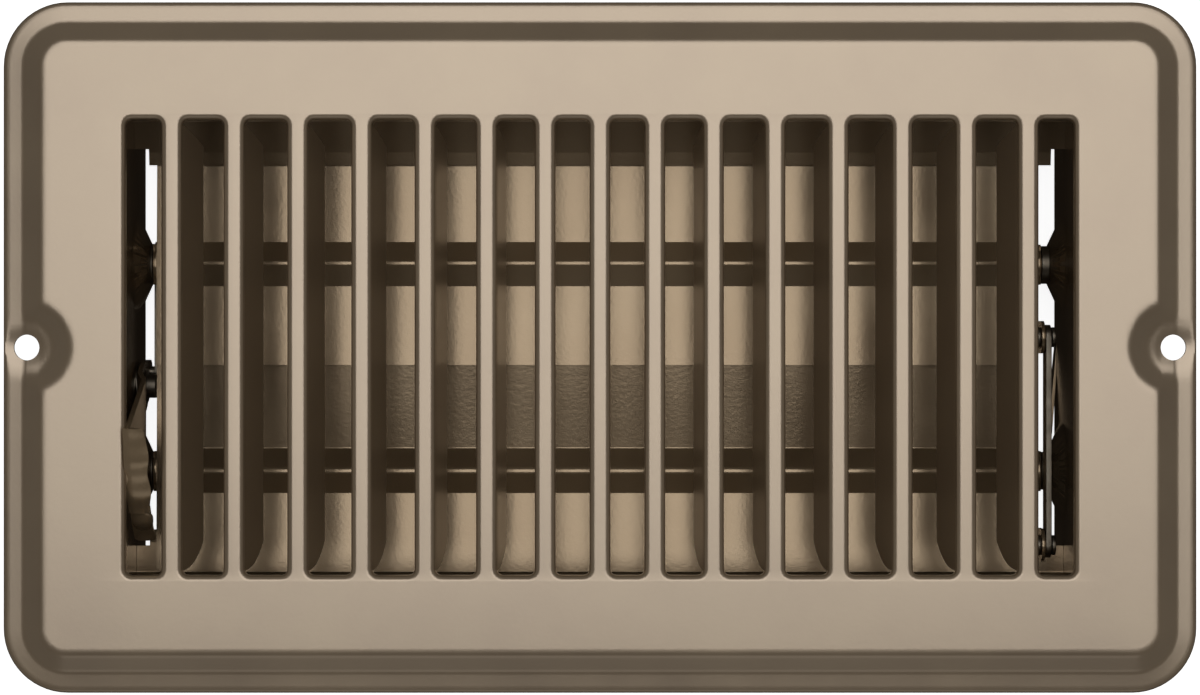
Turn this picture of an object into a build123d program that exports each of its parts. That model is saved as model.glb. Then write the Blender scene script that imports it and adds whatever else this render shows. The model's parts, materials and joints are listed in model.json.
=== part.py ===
from build123d import *
import os
from math import acos, atan2, cos, hypot, radians, sin

os.makedirs("parts", exist_ok=True)

# Floor register for a 4 x 8 inch duct: a stamped faceplate over a damper box with two linked blades.
# Millimetres. X runs along the faceplate, Y across it and Z up, out of the floor. The origin is the
# middle of the faceplate, at the level of the floor that its rim rests on. Damper shown closed.

# ---- driving sizes -------------------------------------------------------------------------------
duct_length = 203.2         # opening in the floor, 8 in
duct_width = 101.6          # opening in the floor, 4 in
plate_lap = 19.05           # faceplate beyond the opening, 3/4 in all round
duct_gap_x = 2.7            # box to opening at each end
duct_gap_y = 1.3            # box to opening at each side
sheet = 0.8                 # steel of the faceplate and the box
fit = 0.06                  # radial play of a turning pin in its hole
open_fit = 0.12             # and at the far end of each link

# ---- faceplate -----------------------------------------------------------------------------------
corner_radius = 13.0
rim_height = 1.4            # top of the rim above the floor
rim_width = 4.4
rim_round = 1.0
slope_width = 3.6
face_height = 4.2           # top of the raised panel above the floor
screw_inset = 4.7           # screw hole centre in from the end of the faceplate
screw_radius = 2.6
countersink_radius = 3.5
countersink_depth = 0.6
dimple_radius = 4.3         # where the dimple round a screw hole leaves the flat of its pad
screw_pad_radius = 5.6
bar_width = 4.2
bar_pitch = 12.4            # mean pitch of the bars
bar_crowding = 0.1415       # how much the bars close up towards the middle
end_slot_pitch = 9.3        # end of the slot field to the middle of the first bar
field_inset_x = 2.0         # end wall to slot field
field_inset_y = 2.0         # side wall to slot field
slot_corner = 1.3
slot_round = 1.2
slot_lip = 2.2              # depth of the lip drawn down round each slot
fin_length = 9.5
fin_corner = 3.0
fin_inset = 1.3             # end of the slot to end of the fin
fin_lean_middle = 7.0       # lean of a fin, degrees from upright
fin_lean_end = 22.0

# ---- damper box ----------------------------------------------------------------------------------
box_bottom = -41.6          # foot of the end walls
weld_flange = 6.0
bend = 0.9                  # inside radius of a bend
stop_flange = 9.6           # width of the flange that a blade closes against
stop_lip = 2.7
stop_drop = 0.5
upper_stop_fall = 2.0       # the upper stop flange runs down from its wall to its lip
lower_stop_fall = 0.1
stop_notch = 2.8            # end of the flange's lip to the end wall
stop_root = 6.2             # part of the flange that runs on to the end wall
corner_tab = 10.0
rivet_radius = 1.2
rivet_heights = (-8.0, -20.0)
rivet_head = 0.5
boss_base = 10.5
boss_top = 4.3
boss_height = 3.0
stop_tab_length = 24.0
stop_tab_height = 4.0
stop_tab_reach = 1.8

# ---- blades --------------------------------------------------------------------------------------
pivot_z = -30.0
blade_sheet = 0.7
wing_rise = 3.0             # wing above the pivot axis
closed_tilt = 2.0           # each closed blade leans so that its neighbour tucks under it
pivot_offset = -0.5         # pivot axis from the middle of the blade
wall_gap = 0.6              # lower blade to side wall
blade_lap = 1.0
stop_lap = 1.4
stop_gap = 0.3              # closed blade to its stop
rib_width = 9.0
rib_height = 2.0
rib_end = 3.5               # rib stops short of the end of the blade
tuck_dip = 2.0              # upper wing of the lower blade beside the rib
tuck_rise = 0.25            # and at its edge, under the upper blade
left_gap = 3.6              # end wall to blade
right_gap = 4.8
ear_radius = 4.2
pin_radius = 1.5
pin_head_radius = 2.2
pin_head = 0.6
collar_radius = 4.0
side_play = 0.2

# ---- link bar, lever and drive link --------------------------------------------------------------
crank_y = -15.3             # crank pin of the link bar from the pivot axis
crank_z = 7.4
crank_ear = 3.4
link_sheet = 1.2
link_half_width = 2.6
link_pin_radius = 1.5
link_head_radius = 2.1
link_head = 0.8
lever_offset = 25.6         # lever stud from the upper blade's axis
lever_lean = 28.0           # lever arm with the damper closed, degrees from upright
lever_sheet = 1.0
lever_hub = 5.0
washer = 0.5
washer_radius = 4.8
stud_radius = 2.5
stud_tip = 3.9              # end of the stud from the end wall
retainer = 0.4
retainer_radius = 3.4
joggle = 1.4                # the arm steps in by this much above the box's bosses
joggle_low = -24.0
joggle_high = -20.0
pad_height = 3.1            # middle of the thumb pad above the floor
pad_reach = 4.1
pad_start = 13.5            # thumb pad, degrees about the stud from upright
pad_end = 43.0
tail_end = 58.0
tail_step = 0.6
drive_radius = 8.6          # crank of the drive link
drive_lead = 20.0           # degrees ahead of straight down
drive_ear = 2.6
drive_sheet = 0.8
drive_half_width = 2.2
drive_pin_radius = 1.2
drive_head_radius = 1.8
drive_head = 0.5

# ---- places that follow --------------------------------------------------------------------------
plate_length = duct_length + 2 * plate_lap
plate_width = duct_width + 2 * plate_lap
wall_x = duct_length / 2 - duct_gap_x - rivet_head - sheet
wall_y = duct_width / 2 - duct_gap_y - 2 * sheet
under_face = face_height - sheet
screw_x = plate_length / 2 - screw_inset
field_x = wall_x - field_inset_x
slot_y = wall_y - field_inset_y
boss_x = wall_x - boss_height
blade_right = wall_x - right_gap
blade_left = -(wall_x - left_gap)
upper_edge = wall_y - stop_flange + stop_lap
lower_edge = -(wall_y - wall_gap)
seam = (upper_edge + lower_edge) / 2
upper_pivot = (seam + upper_edge) / 2 + pivot_offset
lower_pivot = (lower_edge + seam) / 2 + pivot_offset
wing_z = pivot_z + wing_rise
stud_y = upper_pivot - lever_offset
lever_radius = (pad_height - pivot_z) / cos(radians(lever_lean))
lever_x = -(wall_x - washer - 0.1)
retainer_low = lever_x + lever_sheet + 0.1
rivet_x = wall_x - corner_tab / 2
drive_x = blade_left - side_play - drive_sheet
drive_crank = (drive_radius * sin(radians(drive_lead)), -drive_radius * cos(radians(drive_lead)))


def tilt_drop(distance):
    """How far a closed wing stands above or below its untilted level at a distance from the pivot."""
    return distance * sin(radians(closed_tilt))


blade_top_at_stop = wing_z - tilt_drop(upper_edge - upper_pivot - stop_lap) + blade_sheet / 2
blade_foot_at_stop = wing_z + tilt_drop(lower_pivot + wall_y - stop_flange) - blade_sheet / 2
upper_stop_z = blade_top_at_stop + stop_gap + sheet + stop_drop
lower_stop_z = blade_foot_at_stop - stop_gap + 0.1
tab_foot = lower_stop_z + 1


# ---- helpers -------------------------------------------------------------------------------------
def slab(sketch, x_low, x_high):
    """A sheet piece that lies across X: its outline is drawn in Y and Z."""
    return extrude(Plane.YZ.offset(x_low) * sketch, amount=x_high - x_low)


def rod(x_low, x_high, radius, y, z):
    return slab(Pos(y, z) * Circle(radius), x_low, x_high)


def block(x_low, x_high, y_low, y_high, z_low, z_high):
    middle = ((x_low + x_high) / 2, (y_low + y_high) / 2, (z_low + z_high) / 2)
    return Pos(*middle) * Box(x_high - x_low, y_high - y_low, z_high - z_low)


def bent_sheet(points, thickness, radii, plane, reach):
    """Sheet steel folded along a path drawn in a plane, and as long as reach to both sides of it."""
    with BuildSketch(plane) as section:
        with BuildLine():
            if radii:
                FilletPolyline(*points, radius=radii)
            else:
                Polyline(*points)
            offset(amount=thickness, side=Side.LEFT)
        make_face()
    return extrude(section.sketch, amount=reach, both=True)


def web(start, start_radius, end, end_radius):
    """Outline of a flat link: two round ends and their common tangents."""
    length = hypot(end[0] - start[0], end[1] - start[1])
    heading = atan2(end[1] - start[1], end[0] - start[0])
    spread = acos((start_radius - end_radius) / length)
    corners = []
    for centre, radius, side in (
        (start, start_radius, 1),
        (end, end_radius, 1),
        (end, end_radius, -1),
        (start, start_radius, -1),
    ):
        angle = heading + side * spread
        corners.append((centre[0] + radius * cos(angle), centre[1] + radius * sin(angle)))
    ends = Pos(*start) * Circle(start_radius) + Pos(*end) * Circle(end_radius)
    return ends + make_face(Polyline(*corners, close=True))


def tilted(y, z):
    """A point of a blade's section, about its pivot, leaned to the closed position."""
    lean = radians(-closed_tilt)
    return (y * cos(lean) - z * sin(lean), y * sin(lean) + z * cos(lean))


# ---- faceplate -----------------------------------------------------------------------------------
def plate_outline(inset):
    return RectangleRounded(plate_length - 2 * inset, plate_width - 2 * inset, corner_radius - inset)


def raised_panel(drop):
    """The raised panel, with the rim-level pads of the two screw holes taken out of it."""
    low = Pos(0, 0, rim_height - drop) * plate_outline(rim_width)
    high = Pos(0, 0, face_height - drop) * plate_outline(rim_width + slope_width)
    panel = loft([low, high])
    rise = face_height - rim_height
    for side in (-1, 1):
        middle = Pos(side * screw_x, 0, rim_height - drop + rise / 2)
        panel -= middle * Cone(screw_pad_radius, screw_pad_radius + slope_width, rise)
    return panel


def bar_centres():
    """Bars from end to end. They step in from the field's ends and close up towards the middle."""
    first = field_x - end_slot_pitch
    count = round(first / bar_pitch)
    half = []
    for step in range(1, count + 1):
        part = step / count
        half.append(first * (part - bar_crowding * part * (1 - part) ** 2))
    return [-x for x in reversed(half)] + [0.0] + half


def slot_spans():
    edges = [-field_x - bar_width / 2] + bar_centres() + [field_x + bar_width / 2]
    return [(a + bar_width / 2, b - bar_width / 2) for a, b in zip(edges, edges[1:])]


def fin(hinge_x, side):
    """A fin lanced from its slot and bent down. It leans from its bar towards the middle."""
    lean = fin_lean_middle + (fin_lean_end - fin_lean_middle) * abs(hinge_x) / field_x
    half = slot_y - fin_inset
    down = Vector(-side * sin(radians(lean)), 0, -cos(radians(lean)))
    outward = Vector(side * cos(radians(lean)), 0, -sin(radians(lean)))
    top = Vector(hinge_x, 0, face_height - sheet)
    foot = fin_length - fin_corner
    outline = make_face(
        Polyline(
            (-half, 0),
            (-half, foot),
            (-half + fin_corner, fin_length),
            (half - fin_corner, fin_length),
            (half, foot),
            (half, 0),
            close=True,
        )
    )
    plane = Plane(origin=top, x_dir=(0, 1, 0), z_dir=Vector(0, 1, 0).cross(down))
    plate = extrude(plane * outline, amount=sheet)
    if (plate.center() - top).dot(outward) < 0:
        plate = extrude(plane * outline, amount=-sheet)
    return plate


def make_faceplate():
    rim = fillet(extrude(plate_outline(0), amount=rim_height).edges().group_by(Axis.Z)[-1], rim_round)
    under_rim = extrude(plate_outline(sheet), amount=rim_height - sheet)
    plate = rim + raised_panel(0) - under_rim - raised_panel(sheet)
    for side in (-1, 1):
        dimple = rim_height - sheet
        plate += Pos(side * screw_x, 0, dimple / 2) * Cone(dimple_radius - dimple, dimple_radius, dimple)
        plate -= Pos(side * screw_x, 0, rim_height / 2) * Cylinder(screw_radius, 2 * rim_height)
        sink = Pos(side * screw_x, 0, rim_height - countersink_depth / 2)
        plate -= sink * Cone(screw_radius, countersink_radius, countersink_depth)
    spans = slot_spans()
    for low, high in spans:
        outline = RectangleRounded(high - low + 2 * sheet, 2 * (slot_y + sheet), slot_corner + sheet)
        lip = Pos((low + high) / 2, 0, face_height - slot_lip) * extrude(outline, amount=slot_lip)
        plate += lip
    for low, high in spans:
        outline = RectangleRounded(high - low, 2 * slot_y, slot_corner)
        plate -= Pos((low + high) / 2, 0, -face_height) * extrude(outline, amount=3 * face_height)
    top_edges = plate.edges().filter_by_position(Axis.Z, face_height - 0.01, face_height + 0.01)
    slot_edges = [e for e in top_edges if abs(e.center().X) < field_x + 1 and abs(e.center().Y) < slot_y + 1]
    plate = fillet(slot_edges, slot_round)
    for low, high in spans[1:-1]:
        middle = (low + high) / 2
        if abs(middle) > bar_pitch:
            side = 1 if middle > 0 else -1
            plate += fin(high if side > 0 else low, side)
    return plate


# ---- damper box ----------------------------------------------------------------------------------
def make_side_wall(side, stop_z, stop_fall):
    """Wall with a weld flange turned out at its head and a stop flange turned in at its foot."""
    path = [
        (wall_y + sheet + weld_flange, under_face),
        (wall_y, under_face),
        (wall_y, stop_z + stop_fall),
        (wall_y - stop_flange + stop_lip, stop_z),
        (wall_y - stop_flange, stop_z - stop_drop),
    ]
    wall = bent_sheet(path, sheet, (bend, bend, stop_drop), Plane.YZ, wall_x)
    for end in (-1, 1):
        near = wall_x - stop_notch
        low, high = sorted((end * near, end * (wall_x + 1)))
        wall -= block(low, high, wall_y - stop_flange - 1, wall_y - stop_root, stop_z - 3, stop_z + stop_fall + 2)
        for height in rivet_heights:
            hole = Pos(end * rivet_x, wall_y + sheet / 2, height) * Rot(X=90)
            wall -= hole * Cylinder(rivet_radius, 4 * sheet)
    return wall if side > 0 else mirror(wall, Plane.XZ)


def make_end_wall(side):
    """Wall with a weld flange, tabs that lap the side walls, a boss at each pivot and a stop tab."""
    path = [
        (wall_x + sheet + weld_flange, under_face),
        (wall_x, under_face),
        (wall_x, box_bottom),
    ]
    wall = block(wall_x, wall_x + sheet, -wall_y - 2 * sheet, wall_y + 2 * sheet, box_bottom, 0)
    for tab in (-1, 1):
        low, high = sorted((tab * (wall_y + sheet), tab * (wall_y + 2 * sheet)))
        wall += block(wall_x - corner_tab, wall_x + sheet, low, high, tab_foot, 0)
        for height in rivet_heights:
            hole = Pos(rivet_x, tab * (wall_y + 1.5 * sheet), height) * Rot(X=90)
            wall -= hole * Cylinder(rivet_radius, 4 * sheet)
    wall += bent_sheet(path, sheet, bend, Plane.XZ, wall_y - bend)
    for pivot in (upper_pivot, lower_pivot):
        cone = Plane((wall_x, pivot, pivot_z), z_dir=(-1, 0, 0))
        hollow = Plane((wall_x + sheet, pivot, pivot_z), z_dir=(-1, 0, 0))
        wall += cone * Pos(0, 0, boss_height / 2) * Cone(boss_base, boss_top, boss_height)
        wall -= hollow * Pos(0, 0, boss_height / 2) * Cone(boss_base - sheet, boss_top - sheet / 2, boss_height)
        wall -= rod(boss_x - 1, wall_x + 2, pin_radius, pivot, pivot_z)
    if side > 0:
        return wall + stop_tab()
    wall = mirror(wall, Plane.YZ)
    return wall - rod(-wall_x - 2, -wall_x + 1, stud_radius, stud_y, pivot_z)


def stop_tab():
    """A tab lanced along the foot of the right end wall, bent in like a ramp."""
    start = upper_pivot - boss_base - 1.5
    ramp = make_face(
        Polyline(
            (wall_x + sheet / 2, start),
            (wall_x - stop_tab_reach, start - stop_tab_length),
            (wall_x - stop_tab_reach + sheet, start - stop_tab_length),
            (wall_x + sheet, start - sheet),
            close=True,
        )
    )
    return Pos(0, 0, box_bottom) * extrude(ramp, amount=stop_tab_height)


def make_corner_rivets():
    rivets = []
    for end in (-1, 1):
        for side in (-1, 1):
            for height in rivet_heights:
                at = Plane((end * rivet_x, side * wall_y, height), z_dir=(0, side, 0))
                shank = Pos(0, 0, sheet) * Cylinder(rivet_radius, 2 * sheet)
                head = Pos(0, 0, 2 * sheet + rivet_head / 2) * Cone(1.9 * rivet_radius, 1.3 * rivet_radius, rivet_head)
                tail = Pos(0, 0, -rivet_head / 2) * Cone(1.2 * rivet_radius, 1.6 * rivet_radius, rivet_head)
                rivets.append(at * (shank + head + tail))
    return Compound(children=rivets)


# ---- blades --------------------------------------------------------------------------------------
def make_blade(pivot_y, low_edge, high_edge, dip, rise, left_ear):
    """A blade: two wings either side of a V rib, and ears bent from its ends."""
    low = low_edge - pivot_y
    high = high_edge - pivot_y
    half_rib = rib_width / 2
    base = wing_rise - blade_sheet / 2
    ribbed = [
        tilted(low, base),
        tilted(-half_rib, base),
        tilted(0, base + rib_height),
        tilted(half_rib, base - dip),
        tilted(high, base + rise),
    ]
    plain = [ribbed[0], ribbed[1], ribbed[4]]
    wing_left = blade_left + blade_sheet
    wing_right = blade_right - blade_sheet
    middle = (wing_left + wing_right) / 2
    reach = (wing_right - wing_left) / 2
    blade = blade_strip(ribbed, (1.2, 0.8, 1.2), middle, reach - rib_end)
    ends = blade_strip(plain, None, middle, reach)
    blade += ends - block(middle - reach + rib_end, middle + reach - rib_end, low - 1, high + 1, -5, 9)
    pivot_ear = Circle(ear_radius) + Pos(0, wing_rise / 2) * Rectangle(2 * ear_radius, wing_rise)
    blade += slab(left_ear, blade_left, wing_left) + slab(pivot_ear, blade_left, wing_left)
    blade += slab(pivot_ear, wing_right, blade_right)
    tab_height = crank_z - wing_rise
    tab = Pos(crank_y, wing_rise + tab_height / 2) * Rectangle(2 * crank_ear, tab_height)
    crank_tab = tab + Pos(crank_y, crank_z) * Circle(crank_ear)
    blade += slab(crank_tab, wing_right, blade_right)
    blade -= rod(blade_left - 1, wing_left + 1, pin_radius + fit, 0, 0)
    blade -= rod(wing_right - 1, blade_right + 1, pin_radius + fit, 0, 0)
    blade -= rod(wing_right - 1, blade_right + 1, link_pin_radius, crank_y, crank_z)
    return blade


def blade_strip(points, radii, middle, reach):
    return Pos(middle, 0, 0) * bent_sheet(points, blade_sheet, radii, Plane.YZ, reach)


def make_pivot_pin(side, pivot_y):
    """Shouldered pin, riveted into its boss. The blade's ear turns on it, inside the small head."""
    ear_face = blade_right if side > 0 else -blade_left
    ear_back = ear_face - blade_sheet
    shoulder_low = ear_face + side_play
    spans = (
        (ear_back - side_play - pin_head, ear_back - side_play, pin_head_radius),
        (ear_back - side_play, boss_x + sheet, pin_radius),
        (shoulder_low, boss_x, collar_radius),
        (boss_x + sheet, boss_x + sheet + pin_head, pin_head_radius),
    )
    return stack(spans, side, pivot_y, pivot_z)


def stack(spans, side, y, z):
    """Round steps along X, given for the right end and mirrored for the left."""
    steps = [rod(low, high, radius, y, z) for low, high, radius in spans]
    turned = steps[0]
    for step in steps[1:]:
        turned += step
    return turned if side > 0 else mirror(turned, Plane.YZ)


# ---- link bar, lever and drive link --------------------------------------------------------------
def make_link_bar():
    start = (upper_pivot + crank_y, pivot_z + crank_z)
    end = (lower_pivot + crank_y, pivot_z + crank_z)
    low = blade_right + side_play
    bar = slab(web(start, link_half_width, end, link_half_width), low, low + link_sheet)
    bar -= rod(low - 1, low + link_sheet + 1, link_pin_radius + fit, *start)
    return bar - rod(low - 1, low + link_sheet + 1, link_pin_radius + open_fit, *end)


def make_link_rivet(pivot_y):
    ear_back = blade_right - blade_sheet
    bar_face = blade_right + side_play + link_sheet
    spans = (
        (ear_back - link_head, ear_back, link_head_radius),
        (ear_back, bar_face + side_play, link_pin_radius),
        (bar_face + side_play, bar_face + side_play + link_head, link_head_radius),
    )
    return stack(spans, 1, pivot_y + crank_y, pivot_z + crank_z)


def drive_point(y):
    return (y + drive_crank[0], pivot_z + drive_crank[1])


def make_drive_link():
    start = drive_point(upper_pivot)
    end = drive_point(stud_y)
    link = slab(web(start, drive_half_width, end, drive_half_width), drive_x, drive_x + drive_sheet)
    link -= rod(drive_x - 1, drive_x + drive_sheet + 1, drive_pin_radius + fit, *start)
    return link - rod(drive_x - 1, drive_x + drive_sheet + 1, drive_pin_radius + open_fit, *end)


def make_drive_pin_blade():
    ear_back = -(blade_left + blade_sheet)
    link_face = -drive_x
    spans = (
        (ear_back - pin_head, ear_back, drive_head_radius),
        (ear_back, link_face + side_play, drive_pin_radius),
        (link_face + side_play, link_face + side_play + drive_head, drive_head_radius),
    )
    return stack(spans, -1, *drive_point(upper_pivot))


def make_drive_pin_lever():
    lever_back = -lever_x
    link_back = -(drive_x + drive_sheet)
    spans = (
        (lever_back, lever_back + drive_head, drive_head_radius),
        (link_back - side_play / 2, lever_back, drive_pin_radius),
        (link_back - side_play / 2 - drive_head, link_back - side_play / 2, drive_head_radius),
    )
    return stack(spans, -1, *drive_point(stud_y))


def on_arc(radius, angle):
    """A point about the lever stud. The angle is from upright, towards -Y."""
    return (stud_y - radius * sin(radians(angle)), pivot_z + radius * cos(radians(angle)))


def arc_band(outer, thickness, start, end):
    wedge = Polyline((stud_y, pivot_z), on_arc(2 * outer, start), on_arc(2 * outer, end), close=True)
    ring = Pos(stud_y, pivot_z) * (Circle(outer) - Circle(outer - thickness))
    return ring & make_face(wedge)


def make_lever():
    """Pressed lever: hub, crank, stepped arm, and a thumb pad that is an arc about the stud."""
    hub = (stud_y, pivot_z)
    head_radius = 1.2
    reach = lever_radius - head_radius
    near = on_arc(reach, pad_start + 2)
    far = on_arc(reach, lever_lean + 5)
    outline = web(hub, lever_hub, near, head_radius) + web(hub, lever_hub, far, head_radius)
    outline += make_face(Polyline(hub, near, far, close=True))
    outline += web(hub, lever_hub, drive_point(stud_y), drive_ear)
    path = [
        (lever_x + joggle, pivot_z + 2 * lever_radius),
        (lever_x + joggle, joggle_high),
        (lever_x, joggle_low),
        (lever_x, pivot_z - 2 * lever_hub - drive_radius),
    ]
    folded = bent_sheet(path, lever_sheet, bend, Plane.XZ, duct_width)
    arm = slab(outline, lever_x - 1, lever_x + joggle + 2 * lever_sheet) & folded
    pad = arc_band(lever_radius, lever_sheet, pad_start, pad_end)
    tail = arc_band(lever_radius - tail_step, lever_sheet, pad_end - 1, tail_end)
    pad_low = lever_x + joggle
    lever = arm + slab(pad + tail, pad_low, pad_low + pad_reach)
    lever -= rod(lever_x - 1, lever_x + lever_sheet + 1, stud_radius + fit, *hub)
    return lever - rod(lever_x - 1, lever_x + lever_sheet + 1, drive_pin_radius, *drive_point(stud_y))


def make_lever_stud():
    spans = (
        (wall_x - stud_tip, wall_x + sheet, stud_radius),
        (wall_x + sheet, wall_x + sheet + pin_head, stud_radius + 1.2),
    )
    return stack(spans, -1, stud_y, pivot_z)


def ring(low, high, outer):
    return rod(low, high, outer, stud_y, pivot_z) - rod(low - 1, high + 1, stud_radius, stud_y, pivot_z)


ear_crank = web((0, 0), ear_radius, drive_crank, drive_ear) - Pos(*drive_crank) * Circle(drive_pin_radius)
upper_blade = make_blade(upper_pivot, seam, upper_edge, 0, 0, ear_crank)
lower_blade = make_blade(lower_pivot, lower_edge, seam + blade_lap, tuck_dip, tuck_rise, Circle(ear_radius))

nodes = {
    "faceplate": make_faceplate(),
    "side_wall_upper": make_side_wall(1, upper_stop_z, upper_stop_fall),
    "side_wall_lower": make_side_wall(-1, lower_stop_z, lower_stop_fall),
    "end_wall_left": make_end_wall(-1),
    "end_wall_right": make_end_wall(1),
    "corner_rivets": make_corner_rivets(),
    "blade_upper": Pos(0, upper_pivot, pivot_z) * upper_blade,
    "blade_lower": Pos(0, lower_pivot, pivot_z) * lower_blade,
    "upper_pin_left": make_pivot_pin(-1, upper_pivot),
    "upper_pin_right": make_pivot_pin(1, upper_pivot),
    "lower_pin_left": make_pivot_pin(-1, lower_pivot),
    "lower_pin_right": make_pivot_pin(1, lower_pivot),
    "link_bar": make_link_bar(),
    "link_rivet_upper": make_link_rivet(upper_pivot),
    "link_rivet_lower": make_link_rivet(lower_pivot),
    "drive_link": make_drive_link(),
    "drive_pin_blade": make_drive_pin_blade(),
    "drive_pin_lever": make_drive_pin_lever(),
    "lever": make_lever(),
    "lever_stud": make_lever_stud(),
    "wave_washer": ring(-wall_x, washer - wall_x, washer_radius),
    "stud_retainer": ring(retainer_low, retainer_low + retainer, retainer_radius),
}

for name, node in nodes.items():
    export_step(node, f"parts/{name}.step")
print("pivots", upper_pivot, lower_pivot, "stud", stud_y, "lever radius", lever_radius)
print("wall", wall_x, wall_y, "blade ends", blade_left, blade_right, "stops", upper_stop_z, lower_stop_z)
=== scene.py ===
import json
from math import atan2, cos, hypot, pi, radians, sin, sqrt

import bmesh
import bpy
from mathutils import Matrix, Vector


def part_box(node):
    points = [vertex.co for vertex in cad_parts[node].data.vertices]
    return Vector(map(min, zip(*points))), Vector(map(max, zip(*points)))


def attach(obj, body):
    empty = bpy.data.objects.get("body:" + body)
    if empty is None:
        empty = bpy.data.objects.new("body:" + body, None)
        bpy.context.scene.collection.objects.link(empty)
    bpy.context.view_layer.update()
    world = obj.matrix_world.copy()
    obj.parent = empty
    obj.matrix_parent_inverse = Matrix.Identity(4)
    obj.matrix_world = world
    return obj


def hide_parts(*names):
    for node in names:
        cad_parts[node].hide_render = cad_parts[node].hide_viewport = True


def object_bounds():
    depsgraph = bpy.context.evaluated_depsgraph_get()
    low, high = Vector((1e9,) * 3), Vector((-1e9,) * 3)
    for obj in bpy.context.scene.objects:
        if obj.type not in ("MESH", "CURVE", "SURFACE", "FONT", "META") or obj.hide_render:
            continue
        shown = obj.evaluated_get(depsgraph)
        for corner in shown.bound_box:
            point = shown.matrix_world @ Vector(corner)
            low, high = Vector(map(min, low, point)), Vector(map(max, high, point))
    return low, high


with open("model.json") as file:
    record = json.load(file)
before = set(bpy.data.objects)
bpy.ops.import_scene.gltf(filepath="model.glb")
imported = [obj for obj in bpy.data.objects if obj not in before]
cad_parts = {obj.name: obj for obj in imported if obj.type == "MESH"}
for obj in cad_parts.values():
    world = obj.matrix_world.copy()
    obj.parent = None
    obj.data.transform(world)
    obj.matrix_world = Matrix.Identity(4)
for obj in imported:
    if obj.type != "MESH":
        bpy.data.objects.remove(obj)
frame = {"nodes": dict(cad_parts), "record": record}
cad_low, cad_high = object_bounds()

# A stamped steel floor register, enamelled brown: faceplate with a raised, slotted panel over a damper
# box with two linked blades and a thumb lever. Metres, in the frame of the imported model.

MM = 0.001
nodes = frame["nodes"]
record = frame["record"]

half_length, half_width, face_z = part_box("faceplate")[1]
floor_z = cad_low[2]


# ---- scene tools ---------------------------------------------------------------------------------
def linear(code):
    """An sRGB hex colour as linear RGBA."""
    parts = [int(code[i : i + 2], 16) / 255 for i in (1, 3, 5)]
    return tuple(p / 12.92 if p <= 0.04045 else ((p + 0.055) / 1.055) ** 2.4 for p in parts) + (1.0,)


def deselect():
    if bpy.context.object and bpy.context.object.mode == "EDIT":
        bpy.ops.object.mode_set(mode="OBJECT")
    bpy.ops.object.select_all(action="DESELECT")


def make_active(obj):
    deselect()
    obj.select_set(True)
    bpy.context.view_layer.objects.active = obj


def pick(kind, test):
    """Selects the verts, edges or faces of the piece in hand whose middle passes a test."""
    bpy.ops.mesh.select_mode(type={"verts": "VERT", "edges": "EDGE", "faces": "FACE"}[kind])
    bpy.ops.mesh.select_all(action="DESELECT")
    mesh = bmesh.from_edit_mesh(bpy.context.object.data)
    for part in getattr(mesh, kind):
        corners = [part] if kind == "verts" else part.verts
        middle = sum((v.co for v in corners), Vector()) / len(corners)
        if test(middle, part):
            part.select_set(True)
    bmesh.update_edit_mesh(bpy.context.object.data)


def apply_modifier(obj, kind, **settings):
    make_active(obj)
    modifier = obj.modifiers.new(kind.lower(), kind)
    for key, value in settings.items():
        setattr(modifier, key, value)
    bpy.ops.object.modifier_apply(modifier=modifier.name)


def smooth_shading(obj, degrees):
    """Smooth shading with flats that stay flat up to their rounded edges."""
    make_active(obj)
    bpy.ops.object.shade_smooth_by_angle(angle=radians(degrees))
    apply_modifier(obj, "WEIGHTED_NORMAL", mode="FACE_AREA", weight=100, keep_sharp=True)


def soft_min(a, b, blend):
    """The lower of two heights, with a fillet where they cross."""
    nearness = max(blend - abs(a - b), 0) / blend
    return min(a, b) - nearness * nearness * blend / 4


# ---- camera and light ----------------------------------------------------------------------------
VIEW_WIDTH = 241.5 * MM      # what the frame is wide at the face of the plate
VIEW_DISTANCE = 675 * MM
SENSOR = 36.0


def make_camera():
    data = bpy.data.cameras.new("camera")
    data.sensor_width = SENSOR
    data.lens = SENSOR * VIEW_DISTANCE / VIEW_WIDTH
    camera = bpy.data.objects.new("camera", data)
    camera.location = (0, 0, face_z + VIEW_DISTANCE)
    bpy.context.scene.collection.objects.link(camera)
    bpy.context.scene.camera = camera


def soft_light(name, place, target, width, height, power):
    data = bpy.data.lights.new(name, "AREA")
    data.shape = "RECTANGLE"
    data.size = width
    data.size_y = height
    data.energy = power
    light = bpy.data.objects.new(name, data)
    light.location = place
    aim = Vector(target) - Vector(place)
    light.rotation_euler = aim.to_track_quat("-Z", "Y").to_euler()
    bpy.context.scene.collection.objects.link(light)


def make_studio():
    soft_light("overhead softbox", (0.08, 0.38, 1.5), (0.08, 0.38, 0.0), 1.46, 1.2, 11)
    soft_light("front fill", (0.0, -1.6, 0.9), (0, 0, 0), 1.2, 0.7, 0.8)
    world = bpy.data.worlds.new("studio")
    bpy.context.scene.world = world
    world.use_nodes = True
    tree = world.node_tree
    direction = add_node(tree, "ShaderNodeTexCoord").outputs["Generated"]
    height = add_node(tree, "ShaderNodeSeparateXYZ", Vector=direction).outputs["Z"]
    walls = ((0.0, "#3A322A"), (0.47, "#5E564C"), (0.53, "#F6F1EA"), (0.85, "#B9B4AE"))
    level = add_node(tree, "ShaderNodeMapRange", Value=height, From_Min=-1.0, From_Max=1.0)
    colour = add_node(tree, "ShaderNodeValToRGB", stops=walls, in0=level.outputs[0])
    tree.links.new(colour.outputs["Color"], tree.nodes["Background"].inputs["Color"])
    tree.nodes["Background"].inputs["Strength"].default_value = 0.2
    bpy.context.scene.view_settings.view_transform = "Standard"


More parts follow.
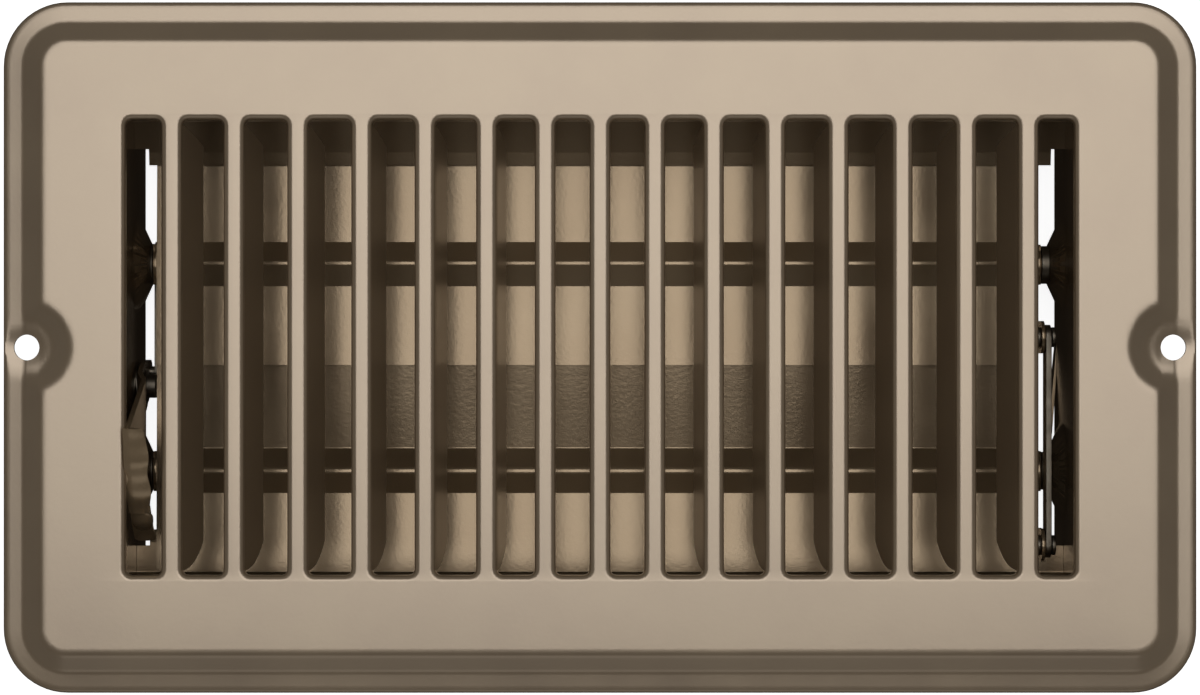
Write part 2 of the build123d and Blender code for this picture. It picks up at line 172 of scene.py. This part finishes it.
def make_floor():
    deselect()
    bpy.ops.mesh.primitive_plane_add(size=6.0, location=(0, 0, floor_z))
    floor = bpy.context.object
    floor.name = "studio_floor"
    material = bpy.data.materials.new("white paper")
    material.use_nodes = True
    shader = material.node_tree.nodes["Principled BSDF"]
    shader.inputs["Base Color"].default_value = linear("#F2F1EE")
    shader.inputs["Roughness"].default_value = 0.9
    shader.inputs["Specular IOR Level"].default_value = 0.0
    shader.inputs["Emission Color"].default_value = linear("#FFFFFF")
    shader.inputs["Emission Strength"].default_value = 0.9
    floor.data.materials.append(material)
    floor.visible_diffuse = False
    floor.visible_glossy = False


# ---- faceplate -----------------------------------------------------------------------------------
PLATE_CORNER = 13.0 * MM
SHEET = 0.8 * MM
# The pressed sheet from its turned-down edge inwards: millimetres in from the edge, and height.
PRESSED_RINGS = (
    (0.0, 0.6),
    (0.12, 0.95),
    (0.42, 1.22),
    (0.9, 1.36),
    (1.6, 1.43),
    (3.6, 1.6),
    (4.15, 1.69),
    (4.55, 1.86),
    (4.95, 2.13),
    (7.15, 3.6),
    (7.6, 3.87),
    (8.05, 4.06),
    (8.6, 4.16),
    (9.3, 4.2),
)
FIELD_X = 95.6 * MM         # end of the slot field
SLOT_Y = 45.9 * MM          # end of a slot
BAR = 4.2 * MM
BARS_X = (11.05, 22.88, 35.28, 48.03, 60.93, 73.76, 86.3)
SLOT_ROUND = 1.2 * MM       # radius of the edge between the panel and a slot's lip
SLOT_CORNER = 2.3 * MM      # corner of a slot, outside that edge
SLOT_LIP = 2.2 * MM
OUTER_Y = SLOT_Y + SLOT_ROUND
SCREW_X = 115.95 * MM
SCREW_RADIUS = 2.6 * MM
SCREW_PAD = 5.6 * MM        # flat of the pad pressed about a screw hole
SCREW_PAD_HEIGHT = 1.65 * MM
SCREW_PAD_SLOPE = 0.76
SCREW_PAD_BLEND = 0.9 * MM
SCREW_PAD_CUT = 0.8 * MM    # spacing of the cuts that let the pad be pressed
DISH_RADIUS = 4.4 * MM      # dish in the pad, where the screw head sits
DISH_DEPTH = 1.2 * MM
TURNED_DOWN = 1.2 * MM      # the rim's edge below this is left alone by the pads
FIN_LENGTH = 9.5 * MM
FIN_LEAN = 7                # lean of a fin at mid length, degrees from upright
FIN_LEAN_RISE = 15          # what it gains by the end of the slot field
FIN_ROOT = 1.3 * MM         # top of a fin below the panel
FIN_END = 0.9 * MM          # end of the slot to the end of a fin
FIN_TAPER_TOP = 3.9 * MM    # how far the fin's free edge draws in at each end
FIN_TAPER_FOOT = 5.5 * MM


def slot_spans():
    centres = [-x * MM for x in reversed(BARS_X)] + [0.0] + [x * MM for x in BARS_X]
    edges = [-FIELD_X - BAR / 2] + centres + [FIELD_X + BAR / 2]
    return [(a + BAR / 2, b - BAR / 2) for a, b in zip(edges, edges[1:])]


def in_slot(x, spans):
    return any(low < x < high for low, high in spans)


def cut_across(direction, places):
    for place in places:
        bpy.ops.mesh.select_all(action="SELECT")
        bpy.ops.mesh.bisect(plane_co=Vector(direction) * place, plane_no=direction)


def cut_grid(spans):
    """Cuts the sheet along the sides and ends of its slots, and finely round the screw holes."""
    panel_x = half_length - PRESSED_RINGS[-1][0] * MM
    columns = [side * (panel_x - step * SCREW_PAD_CUT) for side in (-1, 1) for step in range(1, 12)]
    sides = [x for low, high in spans for x in (low - SLOT_ROUND, high + SLOT_ROUND)]
    rows = [step * SCREW_PAD_CUT for step in range(-17, 18)]
    arc = [OUTER_Y - SLOT_CORNER * (1 - sin(radians(angle))) for angle in (0, 22.5, 45, 67.5, 90)]
    cut_across((1, 0, 0), columns + sides)
    cut_across((0, 1, 0), rows + arc + [-y for y in arc])


def round_slot_corners(mesh, spans):
    """Moves the ends of each slot's sides in, to an arc at each corner of the slot."""
    tiny = 0.01 * MM
    for vertex in mesh.vertices:
        beyond = abs(vertex.co.y) - (OUTER_Y - SLOT_CORNER)
        if -tiny < beyond < SLOT_CORNER + tiny:
            inset = SLOT_CORNER - sqrt(max(SLOT_CORNER**2 - beyond**2, 0))
            for low, high in spans:
                if abs(vertex.co.x - low + SLOT_ROUND) < tiny:
                    vertex.co.x += inset
                elif abs(vertex.co.x - high - SLOT_ROUND) < tiny:
                    vertex.co.x -= inset


def draw_slot_lips(spans):
    """Opens the slots, with a lip drawn down round each over a rounded edge."""
    pick("faces", lambda middle, face: abs(middle.y) < OUTER_Y and in_slot(middle.x, spans))
    bpy.ops.mesh.dissolve_faces()
    steps = 4
    for step in range(1, steps + 1):
        before, after = (step - 1) * pi / 2 / steps, step * pi / 2 / steps
        inward = SLOT_ROUND * (sin(after) - sin(before))
        down = SLOT_ROUND * (cos(before) - cos(after))
        bpy.ops.mesh.inset(thickness=inward, depth=-down, use_individual=True)
    bpy.ops.mesh.inset(thickness=0.001 * MM, depth=-(SLOT_LIP - SLOT_ROUND), use_individual=True)
    bpy.ops.mesh.delete(type="FACE")


def press_screw_pads(mesh):
    """Presses a round pad at rim level about each screw hole, dished where the screw head sits."""
    for vertex in mesh.vertices:
        distance = hypot(abs(vertex.co.x) - SCREW_X, vertex.co.y)
        wall = -soft_min(0, -SCREW_PAD_SLOPE * (distance - SCREW_PAD), SCREW_PAD_BLEND)
        height = soft_min(vertex.co.z, SCREW_PAD_HEIGHT + wall, SCREW_PAD_BLEND)
        dish = max(0.0, 1 - distance / DISH_RADIUS) * DISH_DEPTH
        vertex.co.z = height - dish if vertex.co.z > TURNED_DOWN else vertex.co.z


def make_faceplate():
    spans = slot_spans()
    deselect()
    bpy.ops.mesh.primitive_plane_add(size=1)
    plate = bpy.context.object
    plate.name = "pressed_faceplate"
    bpy.ops.object.mode_set(mode="EDIT")
    bpy.ops.transform.resize(value=(2 * half_length, 2 * half_width, 1))
    bpy.ops.mesh.bevel(offset=PLATE_CORNER, affect="VERTICES", segments=14)
    pick("faces", lambda middle, face: True)
    bpy.ops.mesh.extrude_region_move(TRANSFORM_OT_translate={"value": (0, 0, PRESSED_RINGS[0][1] * MM)})
    pick("faces", lambda middle, face: middle.z < 0.01 * MM)
    bpy.ops.mesh.delete(type="ONLY_FACE")
    pick("faces", lambda middle, face: len(face.verts) > 8)
    for (near, low), (far, high) in zip(PRESSED_RINGS, PRESSED_RINGS[1:]):
        bpy.ops.mesh.inset(thickness=(far - near) * MM, depth=(high - low) * MM)
    cut_grid(spans)
    bpy.ops.object.mode_set(mode="OBJECT")
    round_slot_corners(plate.data, spans)
    bpy.ops.object.mode_set(mode="EDIT")
    draw_slot_lips(spans)
    bpy.ops.object.mode_set(mode="OBJECT")
    press_screw_pads(plate.data)
    apply_modifier(plate, "SOLIDIFY", thickness=SHEET, offset=-1.0, use_even_offset=False)
    for side in (-1, 1):
        deselect()
        at_hole = (side * SCREW_X, 0, 0)
        bpy.ops.mesh.primitive_cylinder_add(vertices=48, radius=SCREW_RADIUS, depth=8 * MM, location=at_hole)
        drill = bpy.context.object
        apply_modifier(plate, "BOOLEAN", object=drill, operation="DIFFERENCE", solver="EXACT")
        bpy.data.objects.remove(drill)
    for low, high in spans[1:-1]:
        middle = (low + high) / 2
        if abs(middle) > BARS_X[0] * MM:
            side = 1 if middle > 0 else -1
            add_fin(plate, high if side > 0 else low, side)
    smooth_shading(plate, 32)
    return plate


def add_fin(plate, hinge_x, side):
    """A fin lanced from its slot: a leaf bent down from the lip, shorter along its free edge."""
    lean = radians(FIN_LEAN + FIN_LEAN_RISE * abs(hinge_x) / FIELD_X)
    steps = 6
    half = SLOT_Y - FIN_END
    deselect()
    bpy.ops.mesh.primitive_plane_add(size=1)
    fin = bpy.context.object
    bpy.ops.object.mode_set(mode="EDIT")
    bpy.ops.mesh.select_mode(type="VERT")
    bpy.ops.mesh.delete(type="ONLY_FACE")
    pick("verts", lambda at, v: at.x > 0)
    bpy.ops.mesh.delete(type="VERT")
    bpy.ops.mesh.select_all(action="SELECT")
    bpy.ops.transform.resize(value=(1, 2 * half, 1))
    bpy.ops.transform.translate(value=(0.5 + hinge_x, 0, face_z - FIN_ROOT))
    for step in range(1, steps + 1):
        part = step / steps
        move = (-side * sin(lean) * FIN_LENGTH / steps, 0, -cos(lean) * FIN_LENGTH / steps)
        bpy.ops.mesh.extrude_region_move(TRANSFORM_OT_translate={"value": move})
        mesh = bmesh.from_edit_mesh(fin.data)
        for vertex in mesh.verts:
            if vertex.select:
                if vertex.co.y > 0:
                    vertex.co.y = half - FIN_TAPER_TOP * part**1.2
                else:
                    vertex.co.y = -half + FIN_TAPER_FOOT * part**2.4
        bmesh.update_edit_mesh(fin.data)
    bpy.ops.mesh.select_all(action="SELECT")
    bpy.ops.mesh.normals_make_consistent(inside=False)
    bpy.ops.object.mode_set(mode="OBJECT")
    facing = fin.data.polygons[0].normal.x * -side
    apply_modifier(fin, "SOLIDIFY", thickness=SHEET, offset=-1.0 if facing > 0 else 1.0)
    apply_modifier(fin, "BEVEL", width=0.2 * MM, segments=2, limit_method="ANGLE", angle_limit=radians(50))
    make_active(plate)
    fin.select_set(True)
    bpy.context.view_layer.objects.active = plate
    bpy.ops.object.join()


# ---- box, blades and linkage ---------------------------------------------------------------------
EDGE_BREAK = {"blade_upper": 0.2 * MM, "blade_lower": 0.2 * MM, "corner_rivets": 0.25 * MM}
USUAL_EDGE_BREAK = 0.15 * MM
PIVOT_Z = -30.0 * MM
STUD_Y = -8.15 * MM
PAD_ARC = 37.5 * MM         # top of the thumb pad from the lever stud
RIPPLE = 0.25 * MM
RIPPLE_PITCH = 8.0 * MM
PAD_ANGLES = (12.5, 43.0)   # thumb pad, degrees about the stud from upright
TAIL_ANGLES = (43.5, 58.0)  # and the step below its far end
PAD_SHEET = 0.5 * MM
PAD_CROWN = 0.3 * MM        # the pad's long edges fall by this much
EDGE_WAVE = 0.25 * MM       # the ripples show in the pad's free edge too


def softened_copy(name, title, width):
    """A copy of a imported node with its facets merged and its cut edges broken, as tumbling or a
    coat of enamel leaves them."""
    source = nodes[name]
    piece = bpy.data.objects.new(title, source.data.copy())
    bpy.context.scene.collection.objects.link(piece)
    make_active(piece)
    bpy.ops.object.mode_set(mode="EDIT")
    bpy.ops.mesh.select_all(action="SELECT")
    bpy.ops.mesh.remove_doubles(threshold=0.001 * MM)
    bpy.ops.mesh.dissolve_limited(angle_limit=radians(0.5))
    bpy.ops.object.mode_set(mode="OBJECT")
    cut_edges = {"limit_method": "ANGLE", "angle_limit": radians(50), "use_clamp_overlap": True}
    apply_modifier(piece, "BEVEL", width=width, segments=2, **cut_edges)
    smooth_shading(piece, 32)
    return piece


def pad_strip(title, angles, left, right, drop):
    """A strip of the thumb pad, along an arc about the stud, with finger ripples pressed across it."""
    rows, columns = 48, 6
    deselect()
    bpy.ops.mesh.primitive_grid_add(x_subdivisions=columns, y_subdivisions=rows, size=1)
    strip = bpy.context.object
    strip.name = title
    for vertex in strip.data.vertices:
        across, along = vertex.co.x + 0.5, vertex.co.y + 0.5
        angle = radians(angles[0] + (angles[1] - angles[0]) * along)
        wave = 2 * pi * angle * PAD_ARC / RIPPLE_PITCH
        ripple = RIPPLE * cos(wave + 0.6)
        edge = EDGE_WAVE * cos(wave + 1.4) * across
        taper = min(1.0, 8 * along, 8 * (1 - along)) ** 0.5
        crown = PAD_CROWN * (2 * across - 1) ** 4
        radius = PAD_ARC + RIPPLE + 0.1 * MM + ripple - drop - crown
        vertex.co = (
            left + (right - left) * across * (0.82 + 0.18 * taper) + edge,
            STUD_Y - radius * sin(angle),
            PIVOT_Z + radius * cos(angle),
        )
    make_active(strip)
    bpy.ops.object.mode_set(mode="EDIT")
    bpy.ops.mesh.select_all(action="SELECT")
    bpy.ops.mesh.normals_make_consistent(inside=False)
    bpy.ops.object.mode_set(mode="OBJECT")
    upward = sum(p.normal.z for p in strip.data.polygons) > 0
    apply_modifier(strip, "SOLIDIFY", thickness=PAD_SHEET, offset=-1.0 if upward else 1.0)
    return strip


def make_lever():
    lever = softened_copy("lever", "thumb_lever", 0.2 * MM)
    low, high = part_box("lever")
    pad = pad_strip("pad", PAD_ANGLES, low[0] + 1.2 * MM, high[0] + 0.5 * MM, 0.0)
    tail = pad_strip("tail", TAIL_ANGLES, low[0] + 1.6 * MM, high[0] + 0.2 * MM, 0.75 * MM)
    make_active(lever)
    pad.select_set(True)
    tail.select_set(True)
    bpy.context.view_layer.objects.active = lever
    bpy.ops.object.join()
    smooth_shading(lever, 40)
    return lever


def make_wave_washer():
    """Spring washer with three waves, squeezed between the lever's hub and the end wall."""
    low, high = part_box("wave_washer")
    outer, inner, gauge = 4.7 * MM, 2.6 * MM, 0.22 * MM
    deselect()
    bpy.ops.mesh.primitive_circle_add(vertices=72, radius=outer, fill_type="NOTHING")
    washer = bpy.context.object
    washer.name = "waved_washer"
    bpy.ops.object.mode_set(mode="EDIT")
    bpy.ops.mesh.select_all(action="SELECT")
    bpy.ops.mesh.extrude_region_move()
    bpy.ops.transform.resize(value=(inner / outer, inner / outer, 1))
    bpy.ops.object.mode_set(mode="OBJECT")
    for vertex in washer.data.vertices:
        turn = atan2(vertex.co.y, vertex.co.x)
        middle = (low[0] + high[0]) / 2
        wave = ((high[0] - low[0]) / 2 - gauge / 2) * cos(3 * turn)
        vertex.co = (middle + wave, STUD_Y + vertex.co.x, PIVOT_Z + vertex.co.y)
    apply_modifier(washer, "SOLIDIFY", thickness=gauge, offset=0.0)
    smooth_shading(washer, 40)
    return washer


# ---- materials -----------------------------------------------------------------------------------
def add_node(tree, kind, settings=None, stops=(), **links):
    """Adds a node. Settings go to its properties, stops of place and hex colour to its ramp, and
    links to its inputs, as values or sockets."""
    node = tree.nodes.new(kind)
    for key, value in (settings or {}).items():
        setattr(node, key, value)
    for index, (place, colour) in enumerate(stops):
        elements = node.color_ramp.elements
        element = elements[index] if index < len(elements) else elements.new(place)
        element.position = place
        element.color = linear(colour)
    for key, value in links.items():
        socket = node.inputs[key.replace("_", " ")] if not key.startswith("in") else node.inputs[int(key[2:])]
        if isinstance(value, bpy.types.NodeSocket):
            tree.links.new(value, socket)
        else:
            socket.default_value = value
    return node


def new_material(name):
    material = bpy.data.materials.new(name)
    material.use_nodes = True
    tree = material.node_tree
    return material, tree, tree.nodes["Principled BSDF"]


def stoved_enamel(name, light, dark, roughness, coat, peel, dust):
    """Baked brown enamel on sheet steel: semi-gloss, with orange peel that shows as a soft grain in
    its highlights, a slight cloudiness where the coat is thin, and fine dust in the hollows."""
    material, tree, shader = new_material(name)
    place = add_node(tree, "ShaderNodeTexCoord").outputs["Object"]
    clouds = add_node(tree, "ShaderNodeTexNoise", Vector=place, Scale=45.0, Detail=4.0, Roughness=0.55)
    tone = add_node(tree, "ShaderNodeValToRGB", stops=((0.3, dark), (0.72, light)), in0=clouds.outputs["Fac"])
    specks = add_node(tree, "ShaderNodeTexNoise", Vector=place, Scale=1400.0, Detail=2.0, Roughness=0.6)
    black_to_white = ((0.62, "#000000"), (0.78, "#FFFFFF"))
    speck_mask = add_node(tree, "ShaderNodeValToRGB", stops=black_to_white, in0=specks.outputs["Fac"])
    speck_amount = add_node(
        tree, "ShaderNodeMath", {"operation": "MULTIPLY"}, in0=speck_mask.outputs["Color"], in1=dust
    )
    mixed = add_node(tree, "ShaderNodeMix", {"data_type": "RGBA"}, in0=speck_amount.outputs[0])
    tree.links.new(tone.outputs["Color"], mixed.inputs[6])
    mixed.inputs[7].default_value = linear("#B7A68C")
    tree.links.new(mixed.outputs[2], shader.inputs["Base Color"])
    span = {"To_Min": roughness - 0.05, "To_Max": roughness + 0.06}
    rough = add_node(tree, "ShaderNodeMapRange", Value=clouds.outputs["Fac"], **span)
    tree.links.new(rough.outputs[0], shader.inputs["Roughness"])
    # Orange peel is about 0.8 mm from crest to crest.
    peel_noise = add_node(tree, "ShaderNodeTexNoise", Vector=place, Scale=1 / (0.8 * MM), Detail=2.0)
    swell = add_node(tree, "ShaderNodeTexNoise", Vector=place, Scale=1 / (34 * MM), Detail=1.0)
    peel_bump = add_node(
        tree, "ShaderNodeBump", Height=peel_noise.outputs["Fac"], Strength=1.0, Distance=peel * MM
    )
    swell_bump = add_node(
        tree,
        "ShaderNodeBump",
        Height=swell.outputs["Fac"],
        Normal=peel_bump.outputs["Normal"],
        Strength=1.0,
        Distance=0.12 * MM,
    )
    tree.links.new(swell_bump.outputs["Normal"], shader.inputs["Normal"])
    shader.inputs["Metallic"].default_value = 0.6
    shader.inputs["Coat Weight"].default_value = coat
    shader.inputs["Coat IOR"].default_value = 1.8
    shader.inputs["Coat Roughness"].default_value = roughness
    return material


def zinc_plate(name, colour, roughness):
    """Dull zinc plating on cold-drawn steel: grey with fine draw lines and a patchy bloom."""
    material, tree, shader = new_material(name)
    place = add_node(tree, "ShaderNodeTexCoord").outputs["Object"]
    bloom = add_node(tree, "ShaderNodeTexNoise", Vector=place, Scale=260.0, Detail=3.0)
    bloomed = ((0.35, colour), (0.7, "#A39A8B"))
    tone = add_node(tree, "ShaderNodeValToRGB", stops=bloomed, in0=bloom.outputs["Fac"])
    tree.links.new(tone.outputs["Color"], shader.inputs["Base Color"])
    lines = add_node(tree, "ShaderNodeMapping", Vector=place, Scale=(500.0, 6000.0, 500.0))
    grain = add_node(tree, "ShaderNodeTexNoise", Vector=lines.outputs[0], Scale=1.0, Detail=2.0)
    bump = add_node(tree, "ShaderNodeBump", Height=grain.outputs["Fac"], Strength=0.6, Distance=0.02 * MM)
    tree.links.new(bump.outputs["Normal"], shader.inputs["Normal"])
    span = {"To_Min": roughness - 0.08, "To_Max": roughness + 0.08}
    spread = add_node(tree, "ShaderNodeMapRange", Value=bloom.outputs["Fac"], **span)
    tree.links.new(spread.outputs[0], shader.inputs["Roughness"])
    shader.inputs["Metallic"].default_value = 1.0
    return material


def finish_with(obj, material):
    obj.data.materials.clear()
    obj.data.materials.append(material)
    for polygon in obj.data.polygons:
        polygon.material_index = 0


def main():
    make_camera()
    make_studio()
    make_floor()
    enamel = stoved_enamel("stoved bronze-brown enamel, face", "#A28E73", "#97836A", 0.3, 1.0, 0.012, 0.05)
    # The inside enamel is the face enamel with darker, more saturated tones. These are painted shade for the
    # box, blades and lever that sit down inside the register.
    inner = stoved_enamel("stoved bronze-brown enamel, inside, with painted shade", "#A08B6E", "#8F7A5E", 0.2, 0.2, 0.02, 0.12)
    zinc = zinc_plate("dull zinc plating", "#7C7468", 0.42)
    spring = zinc_plate("blued spring steel", "#4A4742", 0.35)
    finishes = {"brown_enamel": inner, "zinc_steel": zinc, "spring_steel": spring}
    bodies = {node: body for body, names in record["behaviour"]["bodies"].items() for node in names}
    rebuilt = {"faceplate": make_faceplate, "lever": make_lever, "wave_washer": make_wave_washer}
    for part in record["subparts"]:
        name, finish = part["node"], part["material_slot"]
        if name in rebuilt:
            piece = rebuilt[name]()
        else:
            piece = softened_copy(name, name + "_softened", EDGE_BREAK.get(name, USUAL_EDGE_BREAK))
        finish_with(piece, enamel if name == "faceplate" else finishes[finish])
        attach(piece, bodies[name])
        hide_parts(name)


main()
